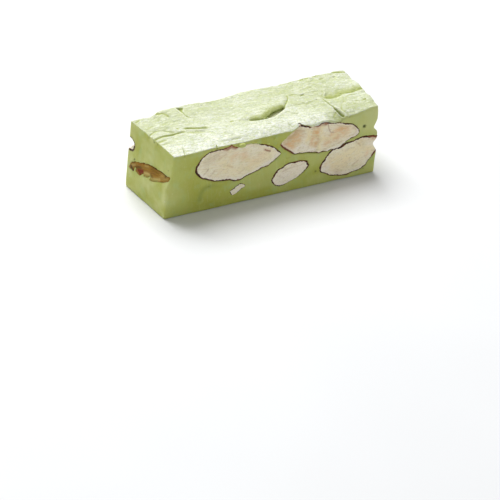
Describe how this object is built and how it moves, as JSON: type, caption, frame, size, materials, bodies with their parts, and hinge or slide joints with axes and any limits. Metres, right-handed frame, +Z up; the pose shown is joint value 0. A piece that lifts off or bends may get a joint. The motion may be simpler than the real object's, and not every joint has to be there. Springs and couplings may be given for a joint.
{
  "type": "nougat bar",
  "caption": "Hand-cut rectangular bar of soft green nougat with cut whole almonds showing on its faces; rests on its flat underside.",
  "frame": {"origin": "middle of the footprint, on the flat underside", "axes": "+X along the bar's length, +Z up, the front cut face with five almond sections faces -Y"},
  "size_m": [0.0582, 0.0176, 0.019],
  "materials": {
    "nougat": "soft satin, slightly translucent, pale dry skin on top",
    "almond_kernel": "matt cut nut, cream with faint orange patches, thin dark skin round the edge",
    "almond_skin": "matt ribbed brown almond skin"
  },
  "bodies": {
    "root": {"nougat": "nougat", "almond_front_long": "almond_kernel", "almond_front_top": "almond_kernel", "almond_front_corner": "almond_kernel", "almond_front_small": "almond_kernel", "almond_front_chip": "almond_kernel", "almond_back_notch": "almond_kernel", "almond_back_long": "almond_kernel", "almond_back_medium": "almond_kernel", "almond_back_small": "almond_kernel", "almond_back_chip": "almond_kernel", "almond_right_end": "almond_kernel", "almond_left_end": "almond_skin"}
  },
  "joints": []
}
